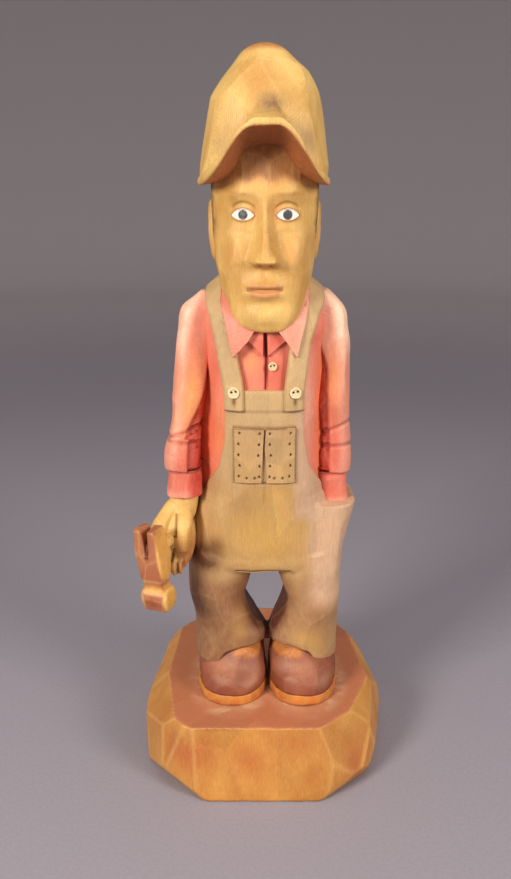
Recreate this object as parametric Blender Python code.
"""Carved wooden figurine of a workman in bib overalls, as an assembly of separately carved pieces.

The pieces are lofted from a few superelliptic sections and fitted to each other with cuts that leave
one glue gap. The frame's origin is the centre of the base's underside, +Z is up, and the figure faces -Y.
Every height with the word LEVEL is measured from the top of the base. LEFT and RIGHT are the figure's own:
its right hand, at -X, holds the hammer.
"""

import math

import bmesh
import bpy
from mathutils import Matrix, Vector

MM = 0.001

# ---------------------------------------------------------------- driving dimensions
GLUE_GAP = 0.3 * MM
RING_POINTS = 24
PLAN_POWER = 2.6
REACH = 40 * MM
SHARP_ANGLE = math.radians(35)

BASE_WIDTH = 96 * MM
BASE_DEPTH = 95 * MM
BASE_HEIGHT = 28 * MM
BASE_POWER = 3.3
BASE_POINTS = 14
BASE_TOP_INSET = 13 * MM
BASE_FOOT_INSET = 2.5 * MM
FIGURE_SETBACK = -7.5 * MM

SHOE_HALF_WIDTH = 12.6 * MM
SHOE_LENGTH = 40 * MM
SHOE_TOE_REACH = 22 * MM
SOLE_THICKNESS = 4 * MM
SOLE_MARGIN = 0.6 * MM
SHOE_GAP = 0.8 * MM
SIDE_STEP = 1.5 * MM

DOWEL_RADIUS = 2 * MM
DOWEL_IN_BASE = 14 * MM
DOWEL_IN_SHOE = 8 * MM

HEM_HEIGHT = 15.5 * MM
HEM_LAP = -0.1 * MM
INSIDE_LEG = 32 * MM
SEAT_HEIGHT = 31.5 * MM
HIP_HALF_WIDTH = 27.5 * MM
HIP_HALF_DEPTH = 18.5 * MM
LEG_HALF_WIDTH = 11.4 * MM
LEG_HALF_DEPTH = 15 * MM
KNEE_SPREAD = 3.6 * MM
LEG_LAP = 4 * MM

TRUNK_HEIGHT = 73 * MM
CHEST_HALF_WIDTH = 19.6 * MM
CHEST_HALF_DEPTH = 17.6 * MM

BIB_HEIGHT = 40 * MM
BIB_HALF_WIDTH = 13.3 * MM
BIB_THICKNESS = 1.4 * MM
BACK_PANEL_HEIGHT = 25 * MM
POCKET_SIDE_MARGIN = 2.9 * MM
POCKET_TOP_MARGIN = 12.7 * MM
POCKET_HEIGHT = 19.7 * MM
POCKET_SLIT = 0.8 * MM
POCKET_THICKNESS = 0.9 * MM

STRAP_WIDTH = 7 * MM
STRAP_HEIGHT = 2.9 * MM
STRAP_OVERHANG = 0.6 * MM
STRAP_BIB_LAP = 6.8 * MM
STRAP_BACK_LAP = 6 * MM
STRAP_SHOULDER_INSET = 3.1 * MM
STRAP_BACK_SPREAD = 5.5 * MM

COLLAR_HEIGHT = 4.2 * MM
COLLAR_DROP = 21 * MM
COLLAR_STAND = 6 * MM
COLLAR_TIP_SPREAD = 10.5 * MM
COLLAR_WING_WIDTH = 15 * MM

STRAP_BUTTON_RADIUS = 1.9 * MM
STRAP_BUTTON_DROP = 0.5 * MM
SHIRT_BUTTON_RADIUS = 1.5 * MM
SHIRT_BUTTON_RISE = 8 * MM
SHIRT_BUTTON_SIDE = 2.6 * MM
BUTTON_THICKNESS = 1.2 * MM
BUTTON_HOLE_RADIUS = 0.3 * MM

ARM_HALF_WIDTH = 6.8 * MM
ARM_HALF_DEPTH = 8.6 * MM
SLEEVE_LENGTH = 67.5 * MM
CUFF_LENGTH = 9.2 * MM
CUFF_INSET = 1.1 * MM
RIGHT_ARM_FORWARD = 8 * MM
RIGHT_ARM_SWING = 1.7 * MM
LEFT_ARM_FORWARD = 2 * MM
LEFT_ARM_SWING = -2.4 * MM
SIDE_POCKET_FLARE = 2 * MM

HAND_HALF_WIDTH = 5.8 * MM
HAND_HALF_DEPTH = 7.4 * MM
HAND_LENGTH = 23 * MM
WRIST_PEG_RADIUS = 2.6 * MM
WRIST_PEG_LENGTH = 8 * MM

HAMMER_TURN = math.radians(20)
HAMMER_DROP = 10.5 * MM
HAMMER_CLEARANCE = 4.3 * MM
HANDLE_RADIUS = 2.1 * MM
HANDLE_BEHIND_FIST = 2.1 * MM
HANDLE_IN_HEAD = 5 * MM
HAMMER_HEAD_WIDTH = 12 * MM
HAMMER_HEAD_DEPTH = 9.5 * MM
HAMMER_CLAW_LENGTH = 9 * MM
HAMMER_CLAW_SLOT = 2 * MM
HAMMER_POLL_LENGTH = 21.5 * MM
HAMMER_FACE_LENGTH = 8 * MM
HAMMER_NECK_INSET = 1.6 * MM

CHIN_DROP = 13.5 * MM
HEAD_HEIGHT = 73.5 * MM
HEAD_HALF_WIDTH = 17 * MM
HEAD_HALF_DEPTH = 17.6 * MM
EAR_RISE = 31.5 * MM
EAR_HALF_HEIGHT = 10.5 * MM
NOSE_REACH = 5.5 * MM
NECK_PEG_RADIUS = 4 * MM
NECK_PEG_IN_BODY = 16 * MM
NECK_PEG_IN_HEAD = 14 * MM

CAP_RIM_RISE = 46 * MM
CAP_HEIGHT = 42.5 * MM
CAP_OVERHANG = 4 * MM
BILL_REACH = 13.5 * MM
BILL_THICKNESS = 3.4 * MM
BILL_ARCH_HEIGHT = 16.5 * MM
BILL_BELL_POWER = 0.8
BILL_DROOP = 1 * MM
BILL_STEPS = 16

# ---------------------------------------------------------------- dimensions worked out from them
HEM_LEVEL = HEM_HEIGHT
CROTCH_LEVEL = HEM_LEVEL + INSIDE_LEG
WAIST_LEVEL = CROTCH_LEVEL + SEAT_HEIGHT
SHOULDER_LEVEL = WAIST_LEVEL + TRUNK_HEIGHT
CHEST_TOP_LEVEL = SHOULDER_LEVEL + 2 * MM
HEM_HALF_WIDTH = SHOE_HALF_WIDTH + HEM_LAP

BIB_TOP_LEVEL = WAIST_LEVEL + BIB_HEIGHT
BACK_PANEL_TOP_LEVEL = WAIST_LEVEL + BACK_PANEL_HEIGHT
POCKET_HALF_WIDTH = BIB_HALF_WIDTH - POCKET_SIDE_MARGIN
POCKET_HIGH_LEVEL = BIB_TOP_LEVEL - POCKET_TOP_MARGIN
POCKET_LOW_LEVEL = POCKET_HIGH_LEVEL - POCKET_HEIGHT
STRAP_BUTTON_LEVEL = BIB_TOP_LEVEL - STRAP_BUTTON_DROP
SHIRT_BUTTON_LEVEL = BIB_TOP_LEVEL + SHIRT_BUTTON_RISE
STRAP_END_LEVEL = BIB_TOP_LEVEL - STRAP_BIB_LAP
STRAP_FRONT_SPREAD = BIB_HALF_WIDTH + STRAP_OVERHANG - STRAP_WIDTH / 2
STRAP_SHOULDER_SPREAD = CHEST_HALF_WIDTH - STRAP_SHOULDER_INSET
STRAP_PATH_DEPTH = 2 * (STRAP_HEIGHT + 3 * MM)
COLLAR_TIP_LEVEL = SHOULDER_LEVEL - COLLAR_DROP

ARM_SIDE = CHEST_HALF_WIDTH + ARM_HALF_WIDTH
SLEEVE_END_LEVEL = SHOULDER_LEVEL - SLEEVE_LENGTH
HAMMER_LEVEL = SLEEVE_END_LEVEL - CUFF_LENGTH - HAMMER_DROP
HAMMER_REACH = HAND_HALF_DEPTH + HAMMER_HEAD_DEPTH / 2 + HAMMER_CLEARANCE

CHIN_LEVEL = SHOULDER_LEVEL - CHIN_DROP
HEAD_TOP_LEVEL = CHIN_LEVEL + HEAD_HEIGHT
EAR_LEVEL = CHIN_LEVEL + EAR_RISE
CAP_RIM_LEVEL = CHIN_LEVEL + CAP_RIM_RISE
CAP_TOP_LEVEL = CAP_RIM_LEVEL + CAP_HEIGHT
CAP_HALF_WIDTH = HEAD_HALF_WIDTH + CAP_OVERHANG
CAP_HALF_DEPTH = HEAD_HALF_DEPTH + CAP_OVERHANG
SIDES = {"right": -1, "left": 1}


# ---------------------------------------------------------------- modelling helpers
def clear_scene():
    """Remove every object, so that only this model is left."""
    for thing in list(bpy.data.objects):
        bpy.data.objects.remove(thing)


def finish(name, colour, roughness):
    """A Principled material with that colour and roughness."""
    made = bpy.data.materials.new(name)
    made.use_nodes = True
    shader = made.node_tree.nodes["Principled BSDF"]
    shader.inputs["Base Color"].default_value = (*colour, 1)
    shader.inputs["Roughness"].default_value = roughness
    shader.inputs["Metallic"].default_value = 0
    return made


def place(name, mesh, parent, material=None):
    """Link a mesh as an object under a parent empty; with no material it's a hidden cutter."""
    made = bpy.data.objects.new(name, mesh)
    bpy.context.scene.collection.objects.link(made)
    made.parent = parent
    if material:
        mesh.materials.append(material)
    else:
        made.hide_render = True
        made.display_type = "WIRE"
    return made


def mesh_from(name, points, faces):
    """A mesh of those points and faces, with its normals pointing out."""
    mesh = bpy.data.meshes.new(name)
    mesh.from_pydata(points, [], faces)
    shape = bmesh.new()
    shape.from_mesh(mesh)
    bmesh.ops.recalc_face_normals(shape, faces=shape.faces)
    shape.to_mesh(mesh)
    shape.free()
    mesh.shade_smooth()
    mesh.set_sharp_from_angle(angle=SHARP_ANGLE)
    return mesh


def skin(name, rings):
    """A closed mesh over rings of equally many points, capped at both ends."""
    count = len(rings[0])
    points = [point for ring in rings for point in ring]
    faces = [tuple(reversed(range(count))), tuple(range(len(points) - count, len(points)))]
    for row in range(len(rings) - 1):
        low, high = row * count, (row + 1) * count
        for i in range(count):
            j = (i + 1) % count
            faces.append((low + i, low + j, high + j, high + i))
    return mesh_from(name, points, faces)


def oval(x, y, z, half_width, half_depth, power=PLAN_POWER, count=RING_POINTS):
    """A level ring on the superellipse |x/a|^power + |y/b|^power = 1."""
    ring = []
    for i in range(count):
        angle = 2 * math.pi * (i + 0.5) / count
        across, along = math.cos(angle), math.sin(angle)
        ring.append((
            x + half_width * math.copysign(abs(across) ** (2 / power), across),
            y + half_depth * math.copysign(abs(along) ** (2 / power), along),
            z,
        ))
    return ring


class Loft:
    """A solid through level sections (level, x, y, half_width, half_depth)."""

    def __init__(self, sections, power=PLAN_POWER, count=RING_POINTS):
        self.sections = sections
        self.power = power
        self.count = count

    def at(self, level):
        """The section's x, y, half width and half depth at any level between the ends."""
        for low, high in zip(self.sections, self.sections[1:]):
            if low[0] <= level <= high[0]:
                share = (level - low[0]) / (high[0] - low[0])
                return [a + (b - a) * share for a, b in zip(low[1:], high[1:])]
        raise ValueError(f"level {level} is outside the loft")

    def front(self, x, level):
        """The y of the front surface at that x and level."""
        centre_x, centre_y, half_width, half_depth = self.at(level)
        share = min(1, abs(x - centre_x) / half_width)
        return centre_y - half_depth * (1 - share**self.power) ** (1 / self.power)

    def mesh(self, name, grow=0.0, below=0.0):
        """The loft as a mesh, grown outwards on every face, with a straight extension below if wanted."""
        sections = list(self.sections)
        if below:
            sections.insert(0, (sections[0][0] - below, *sections[0][1:]))
        rings = [
            oval(x, y, level, half_width, half_depth, self.power, self.count)
            for level, x, y, half_width, half_depth in sections
        ]
        mesh = skin(name, rings)
        shape = bmesh.new()
        shape.from_mesh(mesh)
        shape.normal_update()
        moves = [vert.normal * grow * vert.calc_shell_factor() for vert in shape.verts]
        for vert, move in zip(shape.verts, moves):
            vert.co += move
        shape.to_mesh(mesh)
        shape.free()
        return mesh


def prism(name, outline, front, back):
    """A mesh of an outline of (x, z) points, carried along Y from front to back."""
    return skin(name, [[(x, y, z) for x, z in outline] for y in (front, back)])


def box(name, low, high):
    """A box mesh between two corners."""
    outline = [(low[0], low[2]), (high[0], low[2]), (high[0], high[2]), (low[0], high[2])]
    return prism(name, outline, low[1], high[1])


def rod(name, start, end, radius, count=16):
    """A cylinder mesh between two points."""
    start, end = Vector(start), Vector(end)
    turn = (end - start).to_track_quat("Z", "Y")
    ring = [radius * Vector((math.cos(a), math.sin(a), 0)) for a in
            (2 * math.pi * i / count for i in range(count))]
    return skin(name, [[tuple(end_point + turn @ p) for p in ring] for end_point in (start, end)])


def band(name, path, width, depth):
    """A rectangular band along a path of points: width runs along X, depth along the path's normal."""
    rings = []
    for i, point in enumerate(path):
        ahead = Vector(path[min(i + 1, len(path) - 1)]) - Vector(path[max(i - 1, 0)])
        normal = ahead.cross(Vector((1, 0, 0))).normalized()
        corners = [(-1, -1), (1, -1), (1, 1), (-1, 1)]
        rings.append([
            tuple(Vector(point) + Vector((side * width / 2, 0, 0)) + normal * out * depth / 2)
            for side, out in corners
        ])
    return skin(name, rings)


def cut(target, cutter, operation="DIFFERENCE"):
    """Add an exact Boolean to the target."""
    step = target.modifiers.new(f"{operation.lower()} {cutter.name}", "BOOLEAN")
    step.operation = operation
    step.solver = "EXACT"
    step.object = cutter
    return target


# ---------------------------------------------------------------- the shared forms of the figure
def torso_form():
    """The shirted trunk, from the waist joint to the foot of the neck."""
    rise = SHOULDER_LEVEL - WAIST_LEVEL
    wide, deep = CHEST_HALF_WIDTH, CHEST_HALF_DEPTH
    return Loft([
        (WAIST_LEVEL + GLUE_GAP, 0, 0, wide + 2 * MM, deep - 0.4 * MM),
        (WAIST_LEVEL + 0.15 * rise, 0, 0, wide + 0.4 * MM, deep - 0.3 * MM),
        (WAIST_LEVEL + 0.55 * rise, 0, 0, wide, deep),
        (WAIST_LEVEL + 0.74 * rise, 0, 0.5 * MM, wide + 1.6 * MM, deep - 0.8 * MM),
        (WAIST_LEVEL + 0.88 * rise, 0, 1 * MM, wide + 2.2 * MM, deep - 2.4 * MM),
        (WAIST_LEVEL + 0.96 * rise, 0, 1.5 * MM, wide - 1 * MM, deep - 4.8 * MM),
        (CHEST_TOP_LEVEL, 0, 2 * MM, wide - 6.5 * MM, deep - 7.5 * MM),
    ])


def hips_form():
    """The seat of the overalls, from the crotch to the waist joint."""
    wide, deep = HIP_HALF_WIDTH, HIP_HALF_DEPTH
    rise = WAIST_LEVEL - CROTCH_LEVEL
    return Loft([
        (CROTCH_LEVEL, 0, 0, wide, deep - 1.3 * MM),
        (CROTCH_LEVEL + 0.3 * rise, 0, 0, wide, deep),
        (CROTCH_LEVEL + 0.75 * rise, 0, 0, wide - 1.8 * MM, deep),
        (WAIST_LEVEL, 0, 0, CHEST_HALF_WIDTH + 3.2 * MM, deep - 0.4 * MM),
    ])


def shoe_centre(side):
    """The x of a shoe's centre line."""
    return SIDE_STEP + side * (SHOE_HALF_WIDTH + SHOE_GAP / 2)


def leg_form(side):
    """One trouser leg, bowed out at the knee, from its hem into the seat."""
    hem_x = SIDE_STEP + side * (HEM_HALF_WIDTH + SHOE_GAP / 2)
    top_x = side * (HIP_HALF_WIDTH - LEG_HALF_WIDTH)
    knee_x = top_x + side * KNEE_SPREAD / 2
    rise = CROTCH_LEVEL - HEM_LEVEL
    deep = LEG_HALF_DEPTH
    return Loft([
        (HEM_LEVEL, hem_x, 1.5 * MM, HEM_HALF_WIDTH, deep),
        (HEM_LEVEL + 0.2 * rise, hem_x, 1.2 * MM, HEM_HALF_WIDTH - 0.3 * MM, deep - 0.4 * MM),
        (HEM_LEVEL + 0.8 * rise, knee_x, 0, LEG_HALF_WIDTH - KNEE_SPREAD / 4, deep),
        (CROTCH_LEVEL + LEG_LAP, top_x, 0, LEG_HALF_WIDTH - 0.6 * MM, HIP_HALF_DEPTH - 2.6 * MM),
    ])


def arm_form(side):
    """The sleeve from the top of the cuff to the shoulder; its lower end swings forward and out."""
    forward, swing = ((RIGHT_ARM_FORWARD, RIGHT_ARM_SWING) if side < 0 else
                      (LEFT_ARM_FORWARD, LEFT_ARM_SWING))
    wide, deep = ARM_HALF_WIDTH, ARM_HALF_DEPTH
    profile = [
        (0, 0, wide - 0.2 * MM, deep - 1 * MM),
        (0.12, 0, wide, deep - 0.4 * MM),
        (0.4, 1.9 * MM, wide, deep),
        (0.78, 3.8 * MM, wide, deep),
        (0.92, 6.1 * MM, wide, deep - 0.6 * MM),
        (0.985, 9 * MM, wide - 2.4 * MM, deep - 3 * MM),
    ]
    sections = []
    for share, tuck, half_width, half_depth in profile:
        drop = 1 - share
        x = side * (ARM_SIDE - tuck + swing * drop)
        sections.append((SLEEVE_END_LEVEL + share * SLEEVE_LENGTH, x, 1 * MM * share - forward * drop**1.6,
                         half_width, half_depth))
    return Loft(sections)


def cuff_form(side):
    """The cuff below the sleeve, which flares a little towards its edge."""
    x, y, wide, deep = arm_form(side).at(SLEEVE_END_LEVEL)
    top = SLEEVE_END_LEVEL - GLUE_GAP
    inset = CUFF_INSET
    return Loft([
        (top - CUFF_LENGTH, x, y, wide - 0.4 * inset, deep - 0.4 * inset),
        (top, x, y, wide - inset, deep - inset),
    ])


def wrist():
    """The centre of the right cuff's lower edge."""
    x, y, _, _ = arm_form(SIDES["right"]).at(SLEEVE_END_LEVEL)
    return Vector((x, y, SLEEVE_END_LEVEL - GLUE_GAP - CUFF_LENGTH))


def fist():
    """The centre of the grip, below and a little in front of the wrist."""
    return Vector((wrist().x - 3 * MM, wrist().y - 3 * MM, HAMMER_LEVEL))


def head_form():
    """The head from the chin to the crown, which the cap covers."""
    rise = HEAD_TOP_LEVEL - CHIN_LEVEL
    wide, deep = HEAD_HALF_WIDTH, HEAD_HALF_DEPTH
    return Loft([
        (CHIN_LEVEL, 0, -16.5 * MM, 0.4 * wide, 0.25 * deep),
        (CHIN_LEVEL + 0.05 * rise, 0, -14.5 * MM, 0.62 * wide, 0.42 * deep),
        (CHIN_LEVEL + 0.14 * rise, 0, -9.5 * MM, 0.82 * wide, 0.66 * deep),
        (CHIN_LEVEL + 0.27 * rise, 0, -5 * MM, 0.95 * wide, 0.88 * deep),
        (CHIN_LEVEL + 0.42 * rise, 0, -3 * MM, 0.99 * wide, 0.97 * deep),
        (CHIN_LEVEL + 0.68 * rise, 0, -2.5 * MM, wide, deep),
        (CHIN_LEVEL + 0.86 * rise, 0, -1.5 * MM, 0.86 * wide, 0.86 * deep),
        (CHIN_LEVEL + 0.96 * rise, 0, 0, 0.6 * wide, 0.6 * deep),
        (HEAD_TOP_LEVEL, 0, 0, 0.35 * wide, 0.35 * deep),
    ], power=2.4)


def crown_form():
    """The tall crown of the cap."""
    rise = CAP_TOP_LEVEL - CAP_RIM_LEVEL
    wide, deep = CAP_HALF_WIDTH, CAP_HALF_DEPTH
    return Loft([
        (CAP_RIM_LEVEL, 0, 1 * MM, wide, deep),
        (CAP_RIM_LEVEL + 0.3 * rise, 0, 1 * MM, 0.92 * wide, 0.94 * deep),
        (CAP_RIM_LEVEL + 0.5 * rise, 0, 1 * MM, 0.85 * wide, 0.88 * deep),
        (CAP_RIM_LEVEL + 0.67 * rise, 0, 1 * MM, 0.74 * wide, 0.77 * deep),
        (CAP_RIM_LEVEL + 0.81 * rise, 0, 1 * MM, 0.59 * wide, 0.61 * deep),
        (CAP_RIM_LEVEL + 0.93 * rise, 0, 1 * MM, 0.38 * wide, 0.4 * deep),
        (CAP_TOP_LEVEL, 0, 1 * MM, 0.14 * wide, 0.15 * deep),
    ], power=2.3)


def bib_outline(grow=0.0):
    """The bib's (x, z) outline: straight sides that flare out to the waist."""
    half = [
        (HIP_HALF_WIDTH - 4 * MM, WAIST_LEVEL),
        (HIP_HALF_WIDTH - 7.5 * MM, WAIST_LEVEL + 5 * MM),
        (BIB_HALF_WIDTH + 2.6 * MM, WAIST_LEVEL + 12 * MM),
        (BIB_HALF_WIDTH + 0.3 * MM, WAIST_LEVEL + 22 * MM),
        (BIB_HALF_WIDTH, BIB_TOP_LEVEL),
    ]
    right = [(x + grow, z) for x, z in half]
    right[-1] = (right[-1][0], BIB_TOP_LEVEL + grow)
    return right + [(-x, z) for x, z in reversed(right)]


def back_panel_outline(grow=0.0):
    """The (x, z) outline of the overalls' back, which narrows up to the straps."""
    half = [
        (HIP_HALF_WIDTH - 4 * MM + grow, WAIST_LEVEL),
        (HIP_HALF_WIDTH - 8.5 * MM + grow, WAIST_LEVEL + 6 * MM),
        (STRAP_BACK_SPREAD + STRAP_WIDTH / 2 + 2 * MM + grow, BACK_PANEL_TOP_LEVEL + grow),
    ]
    return half + [(-x, z) for x, z in reversed(half)]


def strap_path(side):
    """The middle of a strap's seat on the shirt: up the chest, over the shoulder and down the back."""
    torso = torso_form()
    _, back_y, _, back_deep = torso.at(BACK_PANEL_TOP_LEVEL)
    front_x, top_x, back_x = (
        side * STRAP_FRONT_SPREAD, side * STRAP_SHOULDER_SPREAD, side * STRAP_BACK_SPREAD
    )
    chest_level = SHOULDER_LEVEL - 16 * MM
    blade_level = SHOULDER_LEVEL - 14 * MM
    middle_x = (top_x + back_x) / 2
    return [
        (front_x, torso.front(front_x, STRAP_END_LEVEL), STRAP_END_LEVEL),
        (front_x, torso.front(front_x, BIB_TOP_LEVEL), BIB_TOP_LEVEL),
        ((front_x + top_x) / 2, torso.front(front_x, chest_level), chest_level),
        (top_x, -9 * MM, SHOULDER_LEVEL - 3 * MM),
        (top_x, 1 * MM, SHOULDER_LEVEL),
        (top_x, 9.5 * MM, SHOULDER_LEVEL - 4 * MM),
        (middle_x, 2 * MM - torso.front(middle_x, blade_level), blade_level),
        (back_x, back_y + back_deep, BACK_PANEL_TOP_LEVEL - STRAP_BACK_LAP),
    ]


def collar_outline(side, grow=0.0):
    """One collar wing's (x, z) outline, from the front of the neck to its tip and round the neck."""
    neck_level = SHOULDER_LEVEL + COLLAR_STAND
    inner = 5.2 * MM - grow
    half = [
        (inner, COLLAR_TIP_LEVEL + 6.5 * MM - grow),
        (COLLAR_TIP_SPREAD + 0.6 * grow, COLLAR_TIP_LEVEL - 1.6 * grow),
        (COLLAR_WING_WIDTH + grow, neck_level - 8 * MM),
        (COLLAR_WING_WIDTH + grow, neck_level),
        (inner, neck_level),
    ]
    return [(side * x, z) for x, z in half]


# ---------------------------------------------------------------- the pieces
class Figurine:
    """Builds each piece under the empty that it stands on."""

    def __init__(self):
        self.base_axis = self.axis("base_axis", (0, 0, 0))
        self.figure_axis = self.axis("figure_axis", (0, FIGURE_SETBACK, BASE_HEIGHT))
        self.bare_wood = finish("bare_wood", (0.80, 0.55, 0.25), 0.55)
        self.ochre_wood = finish("ochre_stain", (0.72, 0.42, 0.15), 0.5)
        self.shirt_stain = finish("shirt_stain", (0.80, 0.22, 0.15), 0.55)
        self.overalls_stain = finish("overalls_stain", (0.50, 0.35, 0.17), 0.6)
        self.shoe_stain = finish("shoe_stain", (0.42, 0.17, 0.09), 0.5)
        self.hammer_stain = finish("hammer_stain", (0.62, 0.30, 0.16), 0.5)
        self.cap_stain = finish("cap_stain", (0.85, 0.60, 0.24), 0.5)
        self.button_paint = finish("button_paint", (0.88, 0.82, 0.66), 0.45)
        self.dowel_wood = finish("dowel_wood", (0.78, 0.62, 0.40), 0.6)

    def axis(self, name, where):
        """An empty that pieces are placed on."""
        made = bpy.data.objects.new(name, None)
        made.location = where
        bpy.context.scene.collection.objects.link(made)
        return made

    def piece(self, name, mesh, material, cutters=(), limits=()):
        """A piece of the figure, kept inside its limits and then cut by each cutter."""
        made = place(name, mesh, self.figure_axis, material)
        for limit in limits:
            cut(made, limit, "INTERSECT")
        for cutter in cutters:
            cut(made, cutter)
        return made

    def helper(self, mesh):
        """A hidden cutter or limit."""
        return place(mesh.name, mesh, self.figure_axis)

    def shell(self, grow, name):
        """The torso grown by that much, as a cutter or a limit."""
        return self.helper(torso_form().mesh(name, grow, below=REACH))

    def prepare_cutters(self):
        """The forms that neighbouring pieces are fitted to, each grown by the glue gap."""
        self.shirt_skin = self.shell(GLUE_GAP, "shirt_skin")
        self.bib_skin = self.shell(GLUE_GAP + BIB_THICKNESS, "bib_skin")
        self.pocket_floor = self.shell(2 * GLUE_GAP + BIB_THICKNESS, "pocket_floor")
        self.pocket_skin = self.shell(2 * GLUE_GAP + BIB_THICKNESS + POCKET_THICKNESS, "pocket_skin")
        self.strap_skin = self.shell(STRAP_HEIGHT, "strap_skin")
        self.collar_skin = self.shell(COLLAR_HEIGHT, "collar_skin")
        self.hips_skin = self.helper(hips_form().mesh("hips_skin", GLUE_GAP))
        self.bib_zone = self.helper(prism("bib_zone", bib_outline(GLUE_GAP), -REACH, 0))
        cut(self.bib_zone, self.pocket_floor, "INTERSECT")
        self.back_zone = self.helper(prism("back_zone", back_panel_outline(GLUE_GAP), 0, REACH))
        cut(self.back_zone, self.pocket_floor, "INTERSECT")
        self.strap_zones = {}
        self.collar_zones = {}
        for name, side in SIDES.items():
            wide = band(f"{name}_strap_zone", strap_path(side), STRAP_WIDTH + 2 * GLUE_GAP, STRAP_PATH_DEPTH)
            self.strap_zones[name] = self.helper(wide)
            cut(self.strap_zones[name], self.shell(STRAP_HEIGHT + GLUE_GAP, f"{name}_strap_top"), "INTERSECT")
            self.collar_zones[name] = self.helper(
                prism(f"{name}_collar_zone", collar_outline(side, GLUE_GAP), -REACH, REACH)
            )

    def base(self):
        """The base: an upright faceted block with its shoulders carved away, and two dowel holes."""
        wide, deep = BASE_WIDTH / 2, BASE_DEPTH / 2
        sections = [
            (0, wide - BASE_FOOT_INSET, deep - BASE_FOOT_INSET),
            (0.45 * BASE_HEIGHT, wide, deep),
            (0.84 * BASE_HEIGHT, wide - 0.3 * BASE_TOP_INSET, deep - 0.2 * BASE_TOP_INSET),
            (BASE_HEIGHT, wide - BASE_TOP_INSET, deep - 0.4 * BASE_TOP_INSET),
        ]
        rings = [oval(0, 0, z, half_wide, half_deep, BASE_POWER, BASE_POINTS)
                 for z, half_wide, half_deep in sections]
        block = place("base", skin("base", rings), self.base_axis, self.ochre_wood)
        for name, side in SIDES.items():
            x = shoe_centre(side)
            hole = rod(f"{name}_base_hole", (x, 0, -DOWEL_IN_BASE), (x, 0, REACH), DOWEL_RADIUS + GLUE_GAP)
            cut(block, self.helper(hole))

    def shoe(self, name, side):
        """A shoe's sole and upper, threaded on the dowel that pins it to the base."""
        x = shoe_centre(side)
        half_length = SHOE_LENGTH / 2
        middle = half_length - SHOE_TOE_REACH
        sole_top = GLUE_GAP + SOLE_THICKNESS
        upper_foot = sole_top + GLUE_GAP
        wide = SHOE_HALF_WIDTH - SOLE_MARGIN
        sole = Loft([
            (GLUE_GAP, x, middle, SHOE_HALF_WIDTH, half_length),
            (sole_top, x, middle, SHOE_HALF_WIDTH, half_length),
        ])
        rise = HEM_LEVEL - GLUE_GAP - upper_foot
        upper = Loft([
            (upper_foot, x, middle, wide, half_length - SOLE_MARGIN),
            (upper_foot + 0.4 * rise, x, middle + 0.6 * MM, wide - 0.2 * MM, half_length - 1.4 * MM),
            (upper_foot + 0.75 * rise, x, middle + 2 * MM, wide - 1.2 * MM, half_length - 3.4 * MM),
            (upper_foot + rise, x, middle + 4 * MM, wide - 2.8 * MM, half_length - 6.4 * MM),
        ])
        foot, top = -DOWEL_IN_BASE + 1 * MM, upper_foot + DOWEL_IN_SHOE
        hole = self.helper(rod(f"{name}_shoe_hole", (x, 0, -REACH), (x, 0, top + 0.5 * MM),
                               DOWEL_RADIUS + GLUE_GAP))
        self.piece(f"{name}_shoe_sole", sole.mesh(f"{name}_shoe_sole"), self.ochre_wood, [hole])
        self.piece(f"{name}_shoe_upper", upper.mesh(f"{name}_shoe_upper"), self.shoe_stain, [hole])
        self.piece(f"{name}_foot_dowel", rod(f"{name}_foot_dowel", (x, 0, foot), (x, 0, top), DOWEL_RADIUS),
                   self.dowel_wood)

    def overalls(self):
        """The seat and both legs of the overalls as one carved block."""
        seat = self.piece("overalls", hips_form().mesh("overalls"), self.overalls_stain)
        for name, side in SIDES.items():
            cut(seat, self.helper(leg_form(side).mesh(f"{name}_leg")), "UNION")

    def side_pocket(self):
        """The flared side pocket that the left cuff is pushed into."""
        x, y, wide, deep = cuff_form(SIDES["left"]).at(SLEEVE_END_LEVEL - CUFF_LENGTH)
        foot, top = CROTCH_LEVEL + LEG_LAP + 1 * MM, SLEEVE_END_LEVEL - CUFF_LENGTH - 2 * GLUE_GAP
        pocket = Loft([
            (foot, HIP_HALF_WIDTH - 4 * MM, 0, 5.6 * MM, 10 * MM),
            ((foot + top) / 2, HIP_HALF_WIDTH - 4 * MM, 0, 7.2 * MM, 12 * MM),
            (top, x + 1 * MM, y, wide + SIDE_POCKET_FLARE, deep + 2 * SIDE_POCKET_FLARE),
        ])
        self.piece("left_side_pocket", pocket.mesh("left_side_pocket"), self.overalls_stain, [self.hips_skin])

    def shirt(self):
        """The trunk, with the socket for the neck peg."""
        socket = self.helper(rod("neck_socket", (0, 0, CHEST_TOP_LEVEL - NECK_PEG_IN_BODY - 0.5 * MM),
                                 (0, 0, CHEST_TOP_LEVEL + REACH), NECK_PEG_RADIUS + GLUE_GAP))
        self.piece("shirt_torso", torso_form().mesh("shirt_torso"), self.shirt_stain, [socket])

    def bib(self):
        """The bib, the back panel and the two halves of the bib pocket."""
        self.piece("bib_front", prism("bib_front", bib_outline(), -REACH, 0), self.overalls_stain,
                   [self.shirt_skin, self.hips_skin], [self.bib_skin])
        self.piece("overalls_back", prism("overalls_back", back_panel_outline(), GLUE_GAP, REACH),
                   self.overalls_stain, [self.shirt_skin, self.hips_skin], [self.bib_skin])
        for name, side in SIDES.items():
            edges = sorted((side * POCKET_SLIT / 2, side * POCKET_HALF_WIDTH))
            block = box(f"bib_pocket_{name}", (edges[0], -REACH, POCKET_LOW_LEVEL),
                        (edges[1], 0, POCKET_HIGH_LEVEL))
            self.piece(f"bib_pocket_{name}", block, self.overalls_stain, [self.pocket_floor], [self.pocket_skin])

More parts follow.
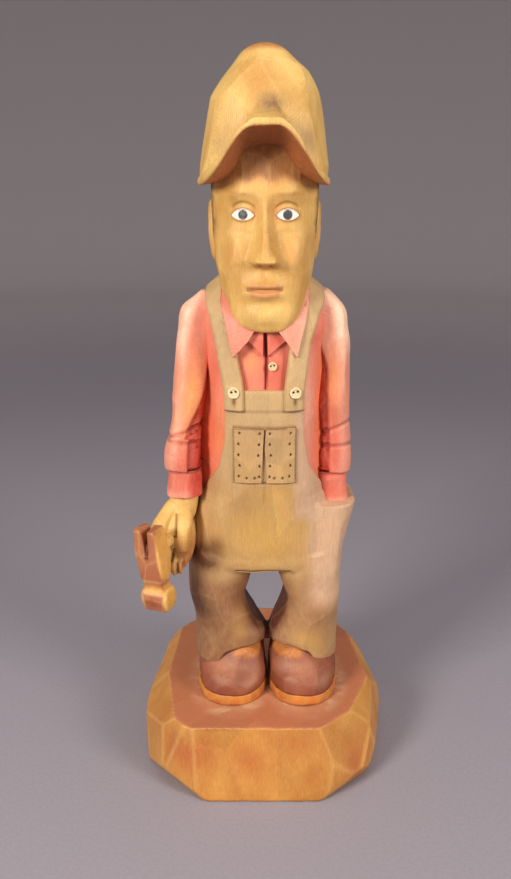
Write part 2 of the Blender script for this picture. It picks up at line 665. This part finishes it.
    def strap(self, name, side):
        """One strap, which lies on the shirt and laps over the bib and the back panel."""
        block = band(f"{name}_strap", strap_path(side), STRAP_WIDTH, STRAP_PATH_DEPTH)
        self.piece(f"{name}_strap", block, self.overalls_stain,
                   [self.shirt_skin, self.bib_zone, self.back_zone, self.head_skin], [self.strap_skin])

    def collar(self, name, side):
        """One collar wing, which lies on the shirt and laps over the strap."""
        block = prism(f"{name}_collar_wing", collar_outline(side), -REACH, 0)
        self.piece(f"{name}_collar_wing", block, self.shirt_stain,
                   [self.shirt_skin, self.strap_zones[name], self.head_skin], [self.collar_skin])

    def button(self, name, x, level, seat_y, radius):
        """A round button with two thread holes, glued to the face behind it."""
        back = seat_y - GLUE_GAP
        front = back - BUTTON_THICKNESS
        rim = rod(name, (x, back, level), (x, front, level), radius, 14)
        holes = []
        for side in SIDES.values():
            hole_x = x + side * 0.36 * radius
            thread = rod(f"{name}_hole", (hole_x, front - 1 * MM, level), (hole_x, back - 0.4 * MM, level),
                         BUTTON_HOLE_RADIUS, 6)
            holes.append(self.helper(thread))
        self.piece(name, rim, self.button_paint, holes)

    def buttons(self):
        """The two strap buttons and the one that shows on the shirt."""
        torso = torso_form()
        for name, side in SIDES.items():
            x = side * STRAP_FRONT_SPREAD
            seat = torso.front(abs(x) - STRAP_BUTTON_RADIUS, STRAP_BUTTON_LEVEL) - STRAP_HEIGHT
            self.button(f"{name}_strap_button", x, STRAP_BUTTON_LEVEL, seat, STRAP_BUTTON_RADIUS)
        seat = torso.front(0, SHIRT_BUTTON_LEVEL)
        self.button("shirt_button", SHIRT_BUTTON_SIDE, SHIRT_BUTTON_LEVEL, seat, SHIRT_BUTTON_RADIUS)

    def arm(self, name, side):
        """A sleeve and its cuff."""
        garments = [self.shirt_skin, self.hips_skin, self.bib_zone, self.back_zone]
        self.piece(f"{name}_sleeve", arm_form(side).mesh(f"{name}_sleeve"), self.shirt_stain,
                   [*garments, self.strap_zones[name]])
        wrist_holes = [self.wrist_hole] if side == SIDES["right"] else []
        self.piece(f"{name}_cuff", cuff_form(side).mesh(f"{name}_cuff"), self.shirt_stain,
                   garments + wrist_holes)

    def hand(self):
        """The right fist with a tenon up into the cuff, bored through for the hammer's handle."""
        top, grip = wrist(), fist()
        wide, deep = HAND_HALF_WIDTH, HAND_HALF_DEPTH
        low = top.z - HAND_LENGTH
        hand = Loft([
            (low, grip.x + 2.4 * MM, grip.y, 0.55 * wide, 0.62 * deep),
            (low + 0.12 * HAND_LENGTH, grip.x + 1.4 * MM, grip.y, 0.85 * wide, 0.9 * deep),
            (low + 0.45 * HAND_LENGTH, grip.x, grip.y, wide, deep),
            (low + 0.75 * HAND_LENGTH, (grip.x + top.x) / 2, (grip.y + top.y) / 2, 0.98 * wide, 0.85 * deep),
            (top.z - GLUE_GAP, top.x, top.y, 0.9 * wide, 0.72 * deep),
        ])
        tenon = rod("wrist_tenon", (top.x, top.y, top.z - 3 * MM),
                    (top.x, top.y, top.z + WRIST_PEG_LENGTH - 0.5 * MM), WRIST_PEG_RADIUS, 12)
        made = self.piece("right_hand", hand.mesh("right_hand"), self.bare_wood)
        cut(made, self.helper(tenon), "UNION")
        cut(made, self.grip_hole)
        cut(made, self.hips_skin)

    def hammer_points(self):
        """Where the handle starts in the hammer head, and where it ends behind the fist."""
        along = Vector((math.sin(HAMMER_TURN), math.cos(HAMMER_TURN), 0))
        head = fist() - along * HAMMER_REACH
        return head, fist() + along * (HAND_HALF_DEPTH + HANDLE_BEHIND_FIST), along

    def prepare_joints(self):
        """The cutters of the peg, tenon and handle holes, and the head's form."""
        top = wrist()
        self.wrist_hole = self.helper(rod(
            "wrist_hole", (top.x, top.y, top.z - 4 * MM),
            (top.x, top.y, top.z + WRIST_PEG_LENGTH), WRIST_PEG_RADIUS + GLUE_GAP, 12))
        head, end, along = self.hammer_points()
        self.grip_hole = self.helper(rod("grip_hole", head - along * HANDLE_IN_HEAD, end + along * REACH,
                                         HANDLE_RADIUS + GLUE_GAP, 12))
        self.head_skin = self.helper(head_form().mesh("head_skin", GLUE_GAP))

    def hammer(self):
        """The handle through the fist and the claw hammer's head on its front end."""
        centre, end, along = self.hammer_points()
        front = centre + along * (HAMMER_HEAD_DEPTH / 2 - HANDLE_IN_HEAD)
        handle = rod("hammer_handle", front + along * GLUE_GAP, end, HANDLE_RADIUS, 12)
        self.piece("hammer_handle", handle, self.bare_wood, [self.hips_skin])
        wide, deep, inset = HAMMER_HEAD_WIDTH / 2, HAMMER_HEAD_DEPTH / 2, HAMMER_NECK_INSET
        face = -HAMMER_POLL_LENGTH
        neck = face + HAMMER_FACE_LENGTH
        blade = Loft([
            (face, 0, 0, wide - 1.2 * MM, deep - 0.6 * MM),
            (face + 1.2 * MM, 0, 0, wide - 0.2 * MM, deep),
            (neck - 0.8 * MM, 0, 0, wide - 0.2 * MM, deep),
            (neck, 0, 0, wide - inset, deep - inset),
            (neck + 6 * MM, 0, 0, wide - 0.3 * MM, deep),
            (0, 0, 0, wide, deep),
            (HAMMER_CLAW_LENGTH, 0, 0, wide - 0.8 * MM, 0.6 * deep),
        ], power=4.5, count=20)
        made = place("hammer_head", blade.mesh("hammer_head"), self.figure_axis, self.hammer_stain)
        made.matrix_local = Matrix.Translation(centre) @ Matrix.Rotation(-HAMMER_TURN, 4, "Z")
        slot_reach = HAMMER_CLAW_LENGTH + 1 * MM
        slot = prism("claw_slot", [
            (-HAMMER_CLAW_SLOT / 2, slot_reach), (0, 0), (HAMMER_CLAW_SLOT / 2, slot_reach)], -REACH, REACH)
        slot_cutter = place("claw_slot", slot, self.figure_axis)
        slot_cutter.matrix_local = made.matrix_local.copy()
        cut(made, slot_cutter)
        eye = self.helper(rod("hammer_eye", front - along * GLUE_GAP, centre + along * REACH,
                              HANDLE_RADIUS + GLUE_GAP, 12))
        cut(made, eye)

    def head(self):
        """The head with its ears and nose, fitted round the shoulders and bored for the neck peg."""
        made = self.piece("head", head_form().mesh("head"), self.bare_wood)
        form = head_form()
        for name, side in SIDES.items():
            x = side * (HEAD_HALF_WIDTH + 0.2 * MM)
            ear = Loft([
                (EAR_LEVEL - EAR_HALF_HEIGHT, x - side * 0.6 * MM, 1 * MM, 1.2 * MM, 1.6 * MM),
                (EAR_LEVEL, x, 1.5 * MM, 2.2 * MM, 4 * MM),
                (EAR_LEVEL + EAR_HALF_HEIGHT, x, 2 * MM, 1.8 * MM, 3 * MM),
            ], count=12)
            cut(made, self.helper(ear.mesh(f"{name}_ear")), "UNION")
        bridge, tip = EAR_LEVEL + 7 * MM, EAR_LEVEL - 7 * MM
        nose = Loft([
            (tip - 1.5 * MM, 0, form.front(0, tip) + 0.5 * MM, 3 * MM, 2.5 * MM),
            (tip + 1.5 * MM, 0, form.front(0, tip) + 0.5 * MM, 4.2 * MM, NOSE_REACH),
            (bridge, 0, form.front(0, bridge) + 1 * MM, 2 * MM, 2 * MM),
        ], count=12)
        cut(made, self.helper(nose.mesh("nose")), "UNION")
        peg_top = CHEST_TOP_LEVEL + NECK_PEG_IN_HEAD
        socket = self.helper(rod("head_socket", (0, 0, CHEST_TOP_LEVEL - REACH), (0, 0, peg_top + 0.5 * MM),
                                 NECK_PEG_RADIUS + GLUE_GAP))
        for cutter in (self.shell(GLUE_GAP, "shoulder_skin"), socket):
            cut(made, cutter)
        self.piece("neck_peg", rod("neck_peg", (0, 0, CHEST_TOP_LEVEL - NECK_PEG_IN_BODY), (0, 0, peg_top),
                                   NECK_PEG_RADIUS), self.dowel_wood)

    def bill_arch(self, rise):
        """The bill's arch from side to side as (x, z) points: a bell curve, lifted by rise."""
        half_span = CAP_HALF_WIDTH + 0.6 * MM
        points = []
        for i in range(BILL_STEPS + 1):
            share = 1 - 2 * i / BILL_STEPS
            bell = ((1 + math.cos(math.pi * share)) / 2) ** BILL_BELL_POWER
            points.append((half_span * share, CAP_RIM_LEVEL - BILL_DROOP + BILL_ARCH_HEIGHT * bell + rise))
        return points

    def cap(self):
        """The cap: a hollow crown over the head, with a bill bent into a high arch."""
        made = self.piece("cap", crown_form().mesh("cap"), self.cap_stain)
        upper, lower = self.bill_arch(BILL_THICKNESS), self.bill_arch(0)
        bill = prism("cap_bill", upper + lower[::-1],
                     -CAP_HALF_DEPTH - BILL_REACH, -0.45 * CAP_HALF_DEPTH)
        plan = oval(0, -CAP_HALF_DEPTH * 0.35, CAP_RIM_LEVEL - REACH, CAP_HALF_WIDTH + 0.6 * MM,
                    CAP_HALF_DEPTH * 0.65 + BILL_REACH, 2.6)
        plan_limit = self.helper(skin("bill_plan", [plan, [(x, y, z + 3 * REACH) for x, y, z in plan]]))
        bill_piece = self.helper(bill)
        cut(bill_piece, plan_limit, "INTERSECT")
        cut(made, bill_piece, "UNION")
        hollow = prism("bill_hollow", [*lower, (lower[-1][0], CAP_RIM_LEVEL - REACH),
                                       (lower[0][0], CAP_RIM_LEVEL - REACH)],
                       -REACH, -0.5 * CAP_HALF_DEPTH)
        cut(made, self.helper(hollow))
        cut(made, self.head_skin)
        for name, side in SIDES.items():
            low, high = EAR_LEVEL - EAR_HALF_HEIGHT, EAR_LEVEL + EAR_HALF_HEIGHT
            edges = sorted((side * (HEAD_HALF_WIDTH - 3 * MM), side * (HEAD_HALF_WIDTH + 2.8 * MM)))
            room = box(f"{name}_ear_room", (edges[0], -3 * MM, low), (edges[1], 6.2 * MM, high + GLUE_GAP))
            cut(made, self.helper(room))

    def build(self):
        """Every piece, from the base up."""
        self.prepare_cutters()
        self.prepare_joints()
        self.base()
        self.overalls()
        self.side_pocket()
        self.shirt()
        self.bib()
        for name, side in SIDES.items():
            self.shoe(name, side)
            self.strap(name, side)
            self.collar(name, side)
            self.arm(name, side)
        self.buttons()
        self.hand()
        self.hammer()
        self.head()
        self.cap()


clear_scene()
Figurine().build()
